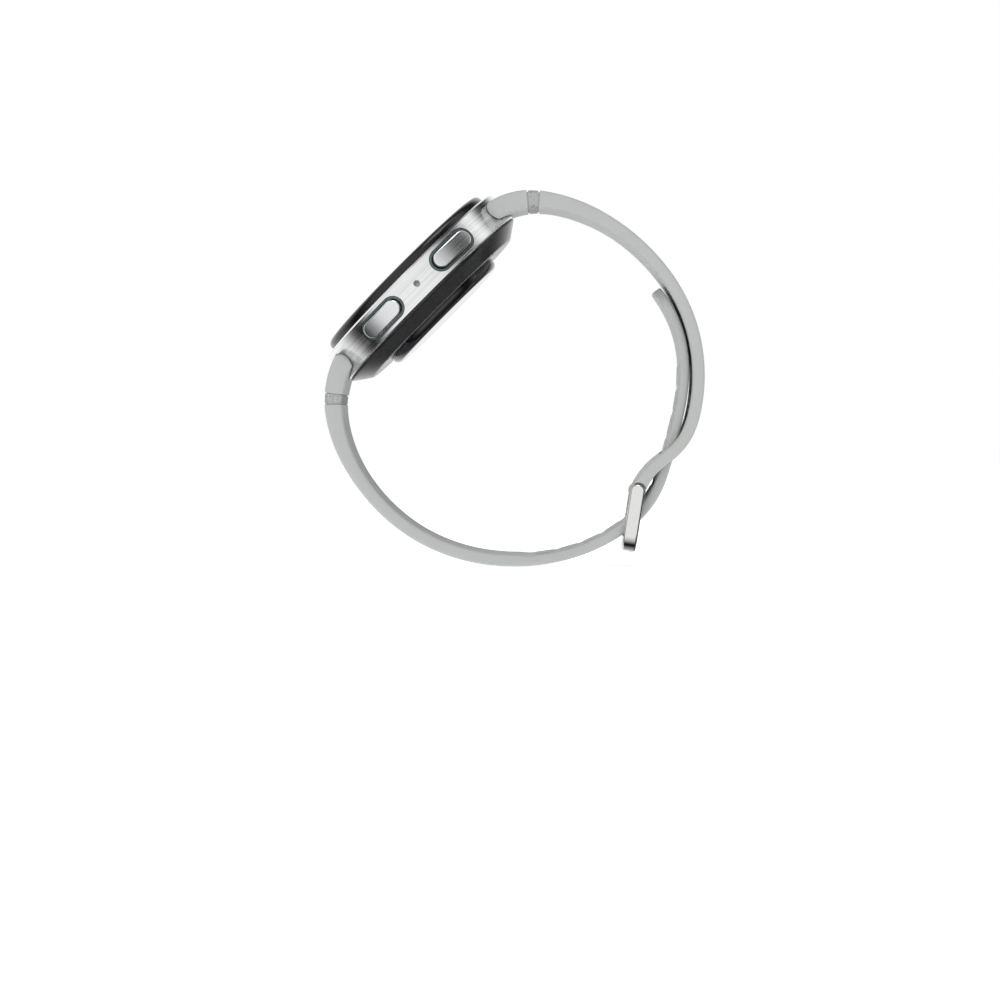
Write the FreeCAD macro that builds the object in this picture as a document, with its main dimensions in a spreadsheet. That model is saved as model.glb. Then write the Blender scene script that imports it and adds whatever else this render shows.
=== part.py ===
import FreeCAD, Part
import os
from math import cos, degrees, radians, sin
from types import SimpleNamespace

import Sketcher
from FreeCAD import Placement, Rotation, Vector

# A round smartwatch with its band buckled, in millimetres.
# Every piece is drawn in the watch's own frame: the display faces +Z, 12 o'clock is +Y, 3 o'clock is
# +X, and Z = 0 is the flat outer face of the sensor window, which a charger or the wrist touches.
# The finished pieces are then tilted together about X, so that the display looks half upwards.

DIMENSIONS = [
    ("tilt_angle", 45, "how far the display leans back from facing straight up"),
    ("case_radius", 20.2, "metal case, outside"),
    ("case_bottom", 4.05, "lower rim of the metal case"),
    ("case_top", 9.75, "upper rim of the metal case"),
    ("case_chamfer", 0.28, "bright edge round both rims"),
    ("cavity_radius", 17.7, "space for the works"),
    ("cavity_flat", 13.6, "flat walls of that space, in front of the strap pockets"),
    ("cavity_roof", 9.15, "underside of the display ledge"),
    ("mouth_radius", 16.0, "opening under the display"),
    ("lug_width", 16.6, "strap pocket, side to side"),
    ("lug_radius", 1.8, "half the height of the strap pocket"),
    ("bar_offset", 16.1, "spring bar, from the middle of the case"),
    ("bar_height", 6.9, "spring bars, buttons and microphone hole"),
    ("bar_hole_radius", 0.45, "hole for a spring bar's tip"),
    ("bar_hole_reach", 9.4, "bottom of that hole, from the middle"),
    ("boss_across", 10.6, "screw bosses, towards 3 and 9 o'clock"),
    ("boss_along", 11.9, "screw bosses, towards 12 and 6 o'clock"),
    ("boss_radius", 1.9, "screw boss"),
    ("screw_radius", 0.5, "screw shank"),
    ("screw_head_radius", 1.05, "screw head"),
    ("cover_radius", 20.0, "back cover at the case"),
    ("cover_edge", 3.73, "top of the back cover's slope"),
    ("cover_flat_radius", 17.0, "flat of the back cover"),
    ("cover_bottom", 1.6, "flat outer face of the back cover"),
    ("cover_floor", 2.6, "inner face of the back cover"),
    ("window_radius", 12.4, "sensor window"),
    ("window_top", 2.08, "inner face of the sensor window"),
    ("bezel_radius", 18.45, "black rim round the glass"),
    ("bezel_bottom", 9.95, "underside of the black rim"),
    ("bezel_top", 11.4, "top of the black rim"),
    ("bezel_round", 0.95, "rounded edge of the black rim"),
    ("glass_radius", 15.55, "cover glass"),
    ("glass_bottom", 10.2, "underside of the cover glass"),
    ("button_angle", 25, "each button, from 3 o'clock"),
    ("button_seat", 18.6, "floor of the button's pocket, from the middle"),
    ("ring_length", 9.8, "ring round a button"),
    ("ring_width", 4.05, "ring round a button"),
    ("ring_reach", 20.14, "outside of the ring, from the middle"),
    ("cap_length", 8.55, "button cap"),
    ("cap_width", 3.0, "button cap"),
    ("cap_reach", 20.75, "outside of the button cap, from the middle"),
    ("cap_gap", 0.12, "gap between button cap and ring"),
    ("stem_radius", 0.8, "button stem"),
    ("running_gap", 0.05, "a shaft in its hole"),
    ("tongue_width", 16.4, "strap inside its pocket"),
    ("band_width", 20.8, "strap outside its pocket"),
    ("shoulder_offset", 19.58, "middle of the strap shoulder's round edge"),
    ("shoulder_height", 6.75, "middle of the strap shoulder's round edge"),
    ("shoulder_radius", 2.1, "the strap shoulder's round edge, seen from the side"),
    ("shoulder_gap", 0.12, "gap between the strap's shoulder and the case"),
    ("tail_width", 16.4, "free end of the band"),
    ("slot_width", 17.2, "slot that the free end is tucked into, and gap between the buckle's arms"),
    ("tube_radius", 0.75, "spring bar tube and buckle bar"),
    ("loop_centre_along", 0.5, "middle of the band's loop"),
    ("loop_centre_up", -16.2, "middle of the band's loop"),
    ("buckle_along", 1.69, "buckle bar"),
    ("buckle_up", -45.18, "buckle bar"),
    ("buckle_angle", 216, "way the buckle's arms point"),
    ("buckle_length", 10.6, "buckle, from its bar to its far end"),
    ("buckle_width", 20.6, "buckle, side to side"),
    ("arm_radius", 1.2, "half the thickness of the buckle's arms"),
    ("buckle_corner", 3.2, "round corners of the buckle's far end"),
    ("pivot_reach", 9.8, "end of the buckle bar, inside a blind hole in each arm"),
    ("tang_width", 1.9, "tang, side to side"),
    ("hole_pitch", 4.4, "holes in the free end"),
    ("hole_length", 2.6, "holes in the free end"),
    ("hole_width", 2.3, "holes in the free end"),
]

# Centre lines of the two straps, as angle (degrees) and radius about the loop's centre, and the
# thickness there. Each runs from its spring bar to its far end.
UPPER_PATH = [
    (56.0, 27.87, 3.3), (52.5, 29.1, 3.4), (46, 30.45, 3.4), (40, 31.1, 3.2), (33, 31.35, 2.85),
    (24, 31.4, 2.6), (12, 31.4, 2.3), (-4, 31.5, 2.15), (-20, 31.8, 2.1), (-38, 31.9, 2.1),
    (-54, 31.75, 2.1), (-63, 31.4, 2.1), (-69.5, 30.4, 2.1), (-75, 29.1, 2.15), (-80, 28.5, 2.2),
    (-84.5, 28.6, 2.3), (-87.65, 29.0, 2.4),
]
LOWER_PATH = [
    (125.7, 28.44, 3.3), (129, 29.7, 3.4), (135, 30.85, 3.4), (142, 31.7, 3.2), (150, 32.1, 2.9),
    (162, 32.2, 2.5), (176, 32.1, 2.3), (192, 32.0, 2.25), (208, 31.8, 2.2), (225, 31.65, 2.1),
    (242, 31.85, 2.05), (257, 32.0, 2.05), (265, 31.95, 2.05), (272, 31.7, 2.0), (280, 30.85, 1.95),
    (288, 29.8, 1.9), (296, 29.2, 1.85), (304, 29.1, 1.85), (318, 29.4, 1.85), (330, 29.5, 1.85),
    (341, 29.2, 1.85), (347, 28.9, 1.85),
]
SLOT_SPAN = (280, 304)
SLOT_HEIGHT = 2.75
HOLES_BEFORE_TANG = 4
HOLES_AFTER_TANG = 6

doc = FreeCAD.newDocument("smartwatch")
sheet = doc.addObject("Spreadsheet::Sheet", "dims")
for row, (alias, value, note) in enumerate(DIMENSIONS, start=1):
    sheet.set(f"A{row}", note)
    sheet.set(f"B{row}", str(value))
    sheet.setAlias(f"B{row}", alias)
doc.recompute()


class Size:
    """A number kept together with the spreadsheet expression that gives it."""

    def __init__(self, value, text):
        self.value = value
        self.text = text

    def joined(self, sign, other, value):
        return Size(value, f"({self.text} {sign} {text_of(other)})")

    def __add__(self, other):
        return self.joined("+", other, self.value + number(other))

    def __sub__(self, other):
        return self.joined("-", other, self.value - number(other))

    def __rsub__(self, other):
        return Size(other - self.value, f"({other} - {self.text})")

    def __mul__(self, other):
        return self.joined("*", other, self.value * number(other))

    def __truediv__(self, other):
        return self.joined("/", other, self.value / number(other))

    def __neg__(self):
        return self * -1

    __radd__ = __add__
    __rmul__ = __mul__


def number(size):
    return size.value if isinstance(size, Size) else float(size)


def text_of(size):
    return size.text if isinstance(size, Size) else repr(size)


def turned(length, angle, function):
    """A length times the sine or cosine of an angle in degrees, both from the sheet."""
    value = number(length) * function(radians(number(angle)))
    return Size(value, f"({text_of(length)} * {function.__name__}({text_of(angle)} * 1 deg))")


dim = SimpleNamespace(**{alias: Size(getattr(sheet, alias), f"dims.{alias}") for alias, _, _ in DIMENSIONS})
pieces = []


# ---------------------------------------------------------------- sketches


def new_body(label):
    """One sub-part. Its label is the name of its node."""
    body = doc.addObject("PartDesign::Body", label)
    body.Label = label
    pieces.append(body)
    return body


def new_sketch(body, role, offset=(0, 0, 0), rotation=Rotation()):
    """A sketch on one of the body's origin planes, shifted and turned in the plane's own axes."""
    sketch = body.newObject("Sketcher::SketchObject", f"{body.Name}_sketch")
    plane = next(item for item in body.Origin.OriginFeatures if item.Role == role)
    sketch.AttachmentSupport = [(plane, "")]
    sketch.MapMode = "FlatFace"
    sketch.AttachmentOffset = Placement(Vector(*[number(size) for size in offset]), rotation)
    for axis, size in zip("xyz", offset):
        if isinstance(size, Size):
            sketch.setExpression(f"AttachmentOffset.Base.{axis}", size.text)
    return sketch


def level_sketch(body, height):
    """A sketch parallel to the display, at a height above the sensor window's face."""
    return new_sketch(body, "XY_Plane", (0, 0, height))


def side_sketch(body, across=0):
    """A sketch seen from 3 o'clock: its x is towards 12 o'clock and its y towards the display."""
    return new_sketch(body, "YZ_Plane", (0, 0, across))


def radial_sketch(body, angle, reach):
    """A sketch facing outwards at an angle from 3 o'clock, at the height of the buttons."""
    offset = (turned(reach, angle, sin), dim.bar_height, turned(reach, angle, cos))
    return new_sketch(body, "YZ_Plane", offset, Rotation(Vector(0, 1, 0), number(angle)))


def buckle_sketch(body):
    """A side sketch on the buckle bar: x runs along the buckle's arms and y away from the wrist."""
    offset = (dim.buckle_along, dim.buckle_up, 0)
    return new_sketch(body, "YZ_Plane", offset, Rotation(Vector(0, 0, 1), number(dim.buckle_angle)))


def constrain(sketch, kind, *values, size=None):
    """Add a constraint, and bind its value to the sheet when it has one."""
    if size is None:
        return sketch.addConstraint(Sketcher.Constraint(kind, *values))
    index = sketch.addConstraint(Sketcher.Constraint(kind, *values, number(size)))
    if isinstance(size, Size):
        sketch.setExpression(f"Constraints[{index}]", size.text)
    return index


def pin_point(sketch, geometry, vertex, x, y):
    constrain(sketch, "DistanceX", -1, 1, geometry, vertex, size=x)
    constrain(sketch, "DistanceY", -1, 1, geometry, vertex, size=y)


def outline(sketch, *points):
    """A closed polygon with every corner bound to the sheet."""
    first = sketch.GeometryCount
    corners = [Vector(number(x), number(y), 0) for x, y in points]
    for start, end in zip(corners, corners[1:] + corners[:1]):
        sketch.addGeometry(Part.LineSegment(start, end))
    for index, (x, y) in enumerate(points):
        constrain(sketch, "Coincident", first + index, 2, first + (index + 1) % len(points), 1)
        pin_point(sketch, first + index, 1, x, y)
    return sketch


def rectangle(sketch, left, right, low, high):
    return outline(sketch, (left, low), (right, low), (right, high), (left, high))


def circle(sketch, radius, x=0, y=0):
    centre = Vector(number(x), number(y), 0)
    geometry = sketch.addGeometry(Part.Circle(centre, Vector(0, 0, 1), number(radius)))
    pin_point(sketch, geometry, 3, x, y)
    constrain(sketch, "Radius", geometry, size=radius)
    return sketch


def arc(centre_x, radius, start, end):
    whole = Part.Circle(Vector(number(centre_x), 0, 0), Vector(0, 0, 1), number(radius))
    return Part.ArcOfCircle(whole, radians(start), radians(end))


def pill(sketch, length, width):
    """A bar with round ends, centred, lying along the sketch's x."""
    radius = width / 2
    half = length / 2 - radius
    right = sketch.addGeometry(arc(half, radius, -90, 90))
    left = sketch.addGeometry(arc(-half, radius, 90, 270))
    run, rise = number(half), number(radius)
    upper = sketch.addGeometry(Part.LineSegment(Vector(run, rise, 0), Vector(-run, rise, 0)))
    lower = sketch.addGeometry(Part.LineSegment(Vector(-run, -rise, 0), Vector(run, -rise, 0)))
    for one, one_end, other, other_end in (
        (right, 2, upper, 1),
        (upper, 2, left, 1),
        (left, 2, lower, 1),
        (lower, 2, right, 1),
    ):
        constrain(sketch, "Tangent", one, one_end, other, other_end)
    pin_point(sketch, right, 3, half, 0)
    pin_point(sketch, left, 3, -half, 0)
    constrain(sketch, "Radius", right, size=radius)
    return sketch


def clipped_circle(sketch, radius, flat):
    """A circle cut off straight at y = flat and y = -flat."""
    ratio = number(flat) / number(radius)
    lean = degrees(FreeCAD.Vector(1, 0, 0).getAngle(Vector((1 - ratio**2) ** 0.5, ratio, 0)))
    right = sketch.addGeometry(arc(0, radius, -lean, lean))
    left = sketch.addGeometry(arc(0, radius, 180 - lean, 180 + lean))
    reach, rise = (number(radius) ** 2 - number(flat) ** 2) ** 0.5, number(flat)
    upper = sketch.addGeometry(Part.LineSegment(Vector(reach, rise, 0), Vector(-reach, rise, 0)))
    lower = sketch.addGeometry(Part.LineSegment(Vector(-reach, -rise, 0), Vector(reach, -rise, 0)))
    for one, other in ((right, upper), (upper, left), (left, lower), (lower, right)):
        constrain(sketch, "Coincident", one, 2, other, 1)
    for side in (right, left):
        pin_point(sketch, side, 3, 0, 0)
        constrain(sketch, "Radius", side, size=radius)
    for line, height in ((upper, flat), (lower, -flat)):
        constrain(sketch, "Horizontal", line)
        constrain(sketch, "DistanceY", -1, 1, line, 1, size=height)
    return sketch


# ---------------------------------------------------------------- features


def feature(kind, sketch, length, back, middle):
    body = sketch.getParentGeoFeatureGroup()
    made = body.newObject(f"PartDesign::{kind}", f"{body.Name}_{kind.lower()}")
    made.Profile = sketch
    made.Midplane = middle
    made.Reversed = back
    if isinstance(length, Size):
        made.setExpression("Length", length.text)
    else:
        made.Length = length
    return made


def pad(sketch, length, back=False, middle=False):
    """Grow the body along the sketch's normal, against it, or to both sides."""
    return feature("Pad", sketch, length, back, middle)


def must_cut(body, make):
    """Run a cutting step and stop if it takes nothing away."""
    doc.recompute()
    before = body.Shape.Volume
    made = make()
    doc.recompute()
    if body.Shape.Volume > before - 1e-4:
        raise RuntimeError(f"{made.Label} cuts nothing from {body.Label}")
    return made


def pocket(sketch, length, back=False, middle=False):
    """Cut against the sketch's normal, along it with back=True, or to both sides."""
    body = sketch.getParentGeoFeatureGroup()
    return must_cut(body, lambda: feature("Pocket", sketch, length, back, middle))


def revolve(kind, sketch):
    body = sketch.getParentGeoFeatureGroup()
    made = body.newObject(f"PartDesign::{kind}", f"{body.Name}_{kind.lower()}")
    made.Profile = sketch
    made.ReferenceAxis = (sketch, ["V_Axis"])
    made.Angle = 360
    return made


def turn(body, *points):
    """A ring or disc turned about the watch's axis from (radius, height) corners."""
    return revolve("Revolution", outline(new_sketch(body, "XZ_Plane"), *points))


def trim_outside(body, reach):
    """Cut everything further than reach from the watch's axis."""
    sketch = rectangle(new_sketch(body, "XZ_Plane"), reach, reach + 3, 2, 12)
    return must_cut(body, lambda: revolve("Groove", sketch))


def soften(body, kind, size, wanted):
    """Round or bevel the edges that the test picks."""
    doc.recompute()
    base = body.Tip
    names = [f"Edge{index}" for index, edge in enumerate(base.Shape.Edges, start=1) if wanted(edge)]
    if not names:
        raise RuntimeError(f"no edge of {body.Label} to soften")
    made = body.newObject(f"PartDesign::{kind}", f"{body.Name}_{kind.lower()}")
    made.Base = (base, names)
    path = "Radius" if kind == "Fillet" else "Size"
    if isinstance(size, Size):
        made.setExpression(path, size.text)
    else:
        setattr(made, path, size)
    return made


def rim(radius, height):
    """Picks the round edges about the watch's axis at one radius and height."""

    def wanted(edge):
        curve = edge.Curve
        return (
            isinstance(curve, Part.Circle)
            and abs(curve.Radius - number(radius)) < 1e-3
            and abs(curve.Center.z - number(height)) < 1e-3
            and curve.Center.x**2 + curve.Center.y**2 < 1e-6
        )

    return wanted


def at_reach(reach):
    """Picks the edges whose every point lies at one distance from the watch's axis."""

    def wanted(edge):
        points = edge.discretize(5)
        return all(abs((point.x**2 + point.y**2) ** 0.5 - number(reach)) < 1e-3 for point in points)

    return wanted


def four_corners(across, along):
    return [(across * side, along * end) for side in (1, -1) for end in (1, -1)]


def drill_bosses(body, height, radius, depth, back=False):
    """Cut a round hole at each of the four screw places."""
    sketch = level_sketch(body, height)
    for x, y in four_corners(dim.boss_across, dim.boss_along):
        circle(sketch, radius, x, y)
    return pocket(sketch, depth, back)


# ---------------------------------------------------------------- case


def case_frame():
    body = new_body("case_frame")
    pad(circle(level_sketch(body, dim.case_bottom), dim.case_radius), dim.case_top - dim.case_bottom)
    cavity = clipped_circle(level_sketch(body, dim.case_bottom), dim.cavity_radius, dim.cavity_flat)
    pocket(cavity, dim.cavity_roof - dim.case_bottom, back=True)
    pocket(circle(level_sketch(body, dim.case_top), dim.mouth_radius), dim.case_top - dim.cavity_roof)
    for height in (dim.case_top, dim.case_bottom):
        soften(body, "Chamfer", dim.case_chamfer, rim(dim.case_radius, height))

    sketch = level_sketch(body, dim.case_bottom)
    for x, y in four_corners(dim.boss_across, dim.boss_along):
        circle(sketch, dim.boss_radius, x, y)
    pad(sketch, 3.5)
    drill_bosses(body, dim.case_bottom, dim.screw_radius - 0.05, 2.4, back=True)

    for side in (1, -1):
        strap_pocket(body, side)
    for side in (1, -1):
        button_pocket(body, dim.button_angle * side)
    pocket(circle(radial_sketch(body, 0, 17), 0.5), 4, back=True)
    soften(body, "Chamfer", 0.12, microphone_rim)


def microphone_rim(edge):
    """Picks the outer edge of the microphone hole."""
    middle = edge.CenterOfMass
    return middle.x > 20.1 and abs(middle.y) < 0.5 and 6.3 < middle.z < 7.5 and edge.Length < 3.5


def strap_pocket(body, side):
    """Pocket for a strap's tongue, a scoop that its wider shoulder fits, and holes for the bar's tips."""
    floor = dim.bar_height - dim.lug_radius
    roof = dim.bar_height + dim.lug_radius
    rectangle_sketch = side_sketch(body)
    rectangle(rectangle_sketch, dim.bar_offset * side, 19 * side, floor, roof)
    pocket(rectangle_sketch, dim.lug_width, middle=True)
    nose = circle(side_sketch(body), dim.lug_radius, dim.bar_offset * side, dim.bar_height)
    pocket(nose, dim.lug_width, middle=True)
    wide = dim.case_radius * 2
    edge = side_sketch(body)
    curve = shoulder_arc(side, dim.shoulder_gap)
    add_closed(edge, [curve, Part.LineSegment(curve.EndPoint, curve.StartPoint)])
    pocket(edge, wide, middle=True)
    path = UPPER_PATH if side > 0 else LOWER_PATH
    gap = 2 * number(dim.shoulder_gap)
    mouth = [(angle, radius, thickness + gap) for angle, radius, thickness in path[1:5]]
    pocket(ribbon(side_sketch(body), mouth), wide, middle=True)
    hole = circle(side_sketch(body), dim.bar_hole_radius, dim.bar_offset * side, dim.bar_height)
    pocket(hole, dim.bar_hole_reach * 2, middle=True)


def button_pocket(body, angle):
    """Seat for a button's ring, the stem's bore, and a counterbore for its seal."""
    seat = pill(radial_sketch(body, angle, dim.button_seat), dim.ring_length + 0.1, dim.ring_width + 0.1)
    pocket(seat, 4, back=True)
    pocket(circle(radial_sketch(body, angle, dim.button_seat), dim.stem_radius + dim.running_gap), 2)
    pocket(circle(radial_sketch(body, angle, 18.2), 1.25), 1.5)


def back_cover():
    body = new_body("back_cover")
    turn(
        body,
        (9, dim.cover_floor),
        (9, dim.window_top + 0.02),
        (dim.window_radius + 0.05, dim.window_top + 0.02),
        (dim.window_radius + 0.05, dim.cover_bottom),
        (dim.cover_flat_radius, dim.cover_bottom),
        (dim.cover_radius, dim.cover_edge),
        (dim.cover_radius, dim.case_bottom),
        (19.3, dim.case_bottom),
        (19.3, dim.case_bottom - 0.55),
        (18.6, dim.case_bottom - 0.55),
        (18.6, dim.case_bottom),
        (17.6, dim.case_bottom),
        (17.6, dim.cover_floor),
    )
    soften(body, "Fillet", 1.2, rim(dim.cover_flat_radius, dim.cover_bottom))
    soften(body, "Fillet", 0.3, rim(dim.cover_radius, dim.cover_edge))
    sketch = level_sketch(body, dim.cover_floor)
    for x, y in four_corners(dim.boss_across, dim.boss_along):
        circle(sketch, dim.boss_radius, x, y)
    pad(sketch, dim.case_bottom - dim.cover_floor)
    drill_bosses(body, dim.case_bottom, dim.screw_radius + 0.1, 3)
    drill_bosses(body, dim.cover_bottom - 0.5, dim.screw_head_radius + 0.1, 1.1, back=True)


def back_seal():
    body = new_body("back_seal")
    turn(body, (18.63, 3.53), (19.27, 3.53), (19.27, dim.case_bottom), (18.63, dim.case_bottom))


def back_screws():
    """Four screws from the back, each with a cross recess."""
    body = new_body("back_screws")
    heads = level_sketch(body, dim.cover_bottom + 0.06)
    shanks = level_sketch(body, dim.cover_bottom + 0.1)
    slots = level_sketch(body, dim.cover_bottom)
    for x, y in four_corners(dim.boss_across, dim.boss_along):
        circle(heads, dim.screw_head_radius, x, y)
        circle(shanks, dim.screw_radius - 0.08, x, y)
        rectangle(slots, x - 0.65, x + 0.65, y - 0.13, y + 0.13)
    body.AllowCompound = True
    pad(heads, 0.5)
    pad(shanks, 4.6)
    pocket(slots, 0.3, back=True)


def sensor_window():
    body = new_body("sensor_window")
    turn(body, (0, 0), (dim.window_radius, 0), (dim.window_radius, dim.window_top), (0, dim.window_top))
    soften(body, "Fillet", 1.3, rim(dim.window_radius, 0))


def bezel_ring():
    body = new_body("bezel_ring")
    inner = dim.glass_radius + 0.05
    turn(
        body,
        (14.95, dim.cavity_roof + 0.05),
        (dim.mouth_radius - 0.15, dim.cavity_roof + 0.05),
        (dim.mouth_radius - 0.15, dim.bezel_bottom),
        (dim.bezel_radius, dim.bezel_bottom),
        (dim.bezel_radius, dim.bezel_top),
        (inner, dim.bezel_top),
        (inner, dim.glass_bottom),
        (14.95, dim.glass_bottom),
    )
    soften(body, "Fillet", dim.bezel_round, rim(dim.bezel_radius, dim.bezel_top))
    soften(body, "Chamfer", 0.08, rim(inner, dim.bezel_top))


def cover_glass():
    body = new_body("cover_glass")
    pad(circle(level_sketch(body, dim.glass_bottom), dim.glass_radius), dim.bezel_top - dim.glass_bottom)
    soften(body, "Fillet", 0.1, rim(dim.glass_radius, dim.bezel_top))


def display_seal():
    body = new_body("display_seal")
    turn(body, (16.3, dim.case_top), (18.2, dim.case_top), (18.2, dim.bezel_bottom), (16.3, dim.bezel_bottom))


def display_panel():
    body = new_body("display_panel")
    pad(circle(level_sketch(body, 9.4), 14.8), dim.glass_bottom - 9.4)


def display_plate():
    """Thin metal sheet behind the panel."""
    body = new_body("display_plate")
    pad(circle(level_sketch(body, 9.17), 14.2), 0.2)


def display_flex():
    """Ribbon from the back of the panel, folded down to the main board."""
    body = new_body("display_flex")
    sketch = outline(
        new_sketch(body, "XZ_Plane"),
        (-14.3, 9.4),
        (-14.75, 9.4),
        (-14.75, 8.32),
        (-12.6, 8.32),
        (-12.6, 8.44),
        (-14.63, 8.44),
        (-14.63, 9.28),
        (-14.3, 9.28),
    )
    pad(sketch, 4.4, middle=True)


# ---------------------------------------------------------------- works


def inner_bracket():
    """Moulded frame that holds the battery, the board and the switches."""
    body = new_body("inner_bracket")
    pad(clipped_circle(level_sketch(body, 3.6), 17.3, 13.2), 5.0)
    pocket(clipped_circle(level_sketch(body, 4.1), 15.8, 12.3), 5, back=True)
    sketch = level_sketch(body, 3)
    for x, y in four_corners(dim.boss_across, dim.boss_along):
        circle(sketch, dim.boss_radius + 0.25, x, y)
    pocket(sketch, 7, back=True)
    for side in (1, -1):
        window = rectangle(radial_sketch(body, dim.button_angle * side, 14.6), -3, 3, -2.4, 2.4)
        pocket(window, 4, back=True)
    pocket(rectangle(radial_sketch(body, 0, 14), -1.6, 1.6, -1.6, 2.4), 4, back=True)


def battery():
    body = new_body("battery")
    pad(rectangle(level_sketch(body, 4.15), -12, 4.5, -9.3, 9.3), 3.2)
    soften(body, "Fillet", 1.4, lambda edge: abs(edge.tangentAt(edge.FirstParameter).z) > 0.99)


def haptic_motor():
    body = new_body("haptic_motor")
    pad(circle(level_sketch(body, 4.15), 3.9, 9.4, 0), 2.6)
    pad(circle(level_sketch(body, 6.7), 1.6, 9.4, 0), 0.3)


def main_board():
    body = new_body("main_board")
    pad(clipped_circle(level_sketch(body, 7.7), 15.5, 12.0), 0.6)


def board_chips():
    """Bare chips on the main board, one solid each."""
    body = new_body("board_chips")
    body.AllowCompound = True
    sketch = level_sketch(body, 8.3)
    for x, y, width, depth in ((6, 6, 5, 4), (6, -6.5, 4, 4), (10.5, 0, 3, 4), (1.5, -9, 2.5, 2)):
        rectangle(sketch, x - width / 2, x + width / 2, y - depth / 2, y + depth / 2)
    pad(sketch, 0.5)


def board_shield():
    """Pressed can over the radio."""
    body = new_body("board_shield")
    pad(rectangle(level_sketch(body, 8.3), -11, 1.5, -6.5, 7.5), 0.7)
    pocket(rectangle(level_sketch(body, 8.3), -10.8, 1.3, -6.3, 7.3), 0.5, back=True)


def microphone():
    body = new_body("microphone")
    pad(rectangle(radial_sketch(body, 0, 14.6), -1.4, 1.4, -1.1, 0.7), 1.6)
    pocket(circle(radial_sketch(body, 0, 16.2), 0.3), 0.4)


def sensor_board():
    body = new_body("sensor_board")
    pad(circle(level_sketch(body, 2.75), 9.8), 0.45)


def sensor_shroud():
    """Light barrier with a cell for each diode."""
    body = new_body("sensor_shroud")
    pad(circle(level_sketch(body, dim.window_top + 0.04), 8.8), 0.6)
    cell = pocket(circle(level_sketch(body, dim.window_top), 1.5, 5.6, 0), 1, back=True)
    pattern = body.newObject("PartDesign::PolarPattern", "sensor_shroud_cells")
    pattern.Originals = [cell]
    pattern.Axis = (next(item for item in body.Origin.OriginFeatures if item.Role == "Z_Axis"), [""])
    pattern.Angle = 360
    pattern.Occurrences = 6
    body.Tip = pattern
    pocket(circle(level_sketch(body, dim.window_top), 2.2), 1, back=True)


def sensor_diodes():
    """Light source in the middle and six detectors round it."""
    body = new_body("sensor_diodes")
    body.AllowCompound = True
    sketch = level_sketch(body, 2.74)
    rectangle(sketch, -1.1, 1.1, -1.1, 1.1)
    for step in range(6):
        x = 5.6 * cos(radians(60 * step))
        y = 5.6 * sin(radians(60 * step))
        rectangle(sketch, x - 0.8, x + 0.8, y - 0.8, y + 0.8)
    pad(sketch, 0.45, back=True)


def charging_coil():
    """Flat winding, drawn as its turns side by side on one backing."""
    body = new_body("charging_coil")
    turn(body, (10.3, 2.95), (13.6, 2.95), (13.6, 3.1), (10.3, 3.1))
    for step in range(8):
        start = 10.35 + 0.4 * step
        turn(body, (start, 2.66), (start + 0.35, 2.66), (start + 0.35, 3), (start, 3))


def ferrite_sheet():
    body = new_body("ferrite_sheet")
    turn(body, (10.3, 3.15), (13.9, 3.15), (13.9, 3.35), (10.3, 3.35))


# ---------------------------------------------------------------- buttons


def button_cap(name, angle):
    """Pill-shaped cap on a round stem with a neck for its clip."""
    body = new_body(f"{name}_button_cap")
    pad(pill(radial_sketch(body, angle, 19.2), dim.cap_length, dim.cap_width), 2)
    trim_outside(body, dim.cap_reach)
    soften(body, "Fillet", 0.25, at_reach(dim.cap_reach))
    for radius, start, end in (
        (dim.stem_radius, 17.62, 19.3),
        (dim.stem_radius - 0.25, 17.3, 17.7),
        (dim.stem_radius, 16.85, 17.33),
    ):
        pad(circle(radial_sketch(body, angle, start), radius), end - start)


def button_ring(name, angle):
    body = new_body(f"{name}_button_ring")
    pad(pill(radial_sketch(body, angle, dim.button_seat + 0.02), dim.ring_length, dim.ring_width), 2)
    length = dim.cap_length + dim.cap_gap * 2
    width = dim.cap_width + dim.cap_gap * 2
    pocket(pill(radial_sketch(body, angle, 18), length, width), 4, back=True)
    trim_outside(body, dim.ring_reach)
    soften(body, "Chamfer", 0.1, at_reach(dim.ring_reach))


def button_seal(name, angle):
    body = new_body(f"{name}_button_seal")
    sketch = circle(radial_sketch(body, angle, 17.88), 1.22)
    pad(circle(sketch, dim.stem_radius + 0.02), 0.3)


def button_clip(name, angle):
    """Open ring that snaps round the stem's neck."""
    body = new_body(f"{name}_button_clip")
    sketch = circle(radial_sketch(body, angle, 17.36), 1.25)
    pad(circle(sketch, dim.stem_radius - 0.23), 0.22)
    pocket(rectangle(radial_sketch(body, angle, 17), -0.45, 0.45, -1.5, 0), 1, back=True)


def button_switch(name, angle):
    body = new_body(f"{name}_button_switch")
    pad(rectangle(radial_sketch(body, angle, 15.25), -1.7, 1.7, -0.75, 0.75), 0.95)
    pad(circle(radial_sketch(body, angle, 16.2), 0.55), 0.2)


# ---------------------------------------------------------------- spring bars


def bar_circle(body, across, radius, side):
    return circle(side_sketch(body, across), radius, dim.bar_offset * side, dim.bar_height)


def spring_bar_tube(name, side):
    body = new_body(f"{name}_bar_tube")
    sketch = bar_circle(body, 0, dim.tube_radius, side)
    pad(circle(sketch, 0.5, dim.bar_offset * side, dim.bar_height), 13, middle=True)


def spring_bar_pin(name, side, hand, way):
    """Telescoping tip: a guide in the tube, a shoulder for the tool, and the tip in the case."""
    body = new_body(f"{name}_bar_pin_{hand}")
    for radius, start, end in ((0.46, 5.4, 7.7), (0.66, 7.6, 7.9), (dim.bar_hole_radius - 0.05, 7.85, 9.25)):
        pad(bar_circle(body, start * way, radius, side), end - start, back=way < 0)


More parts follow.
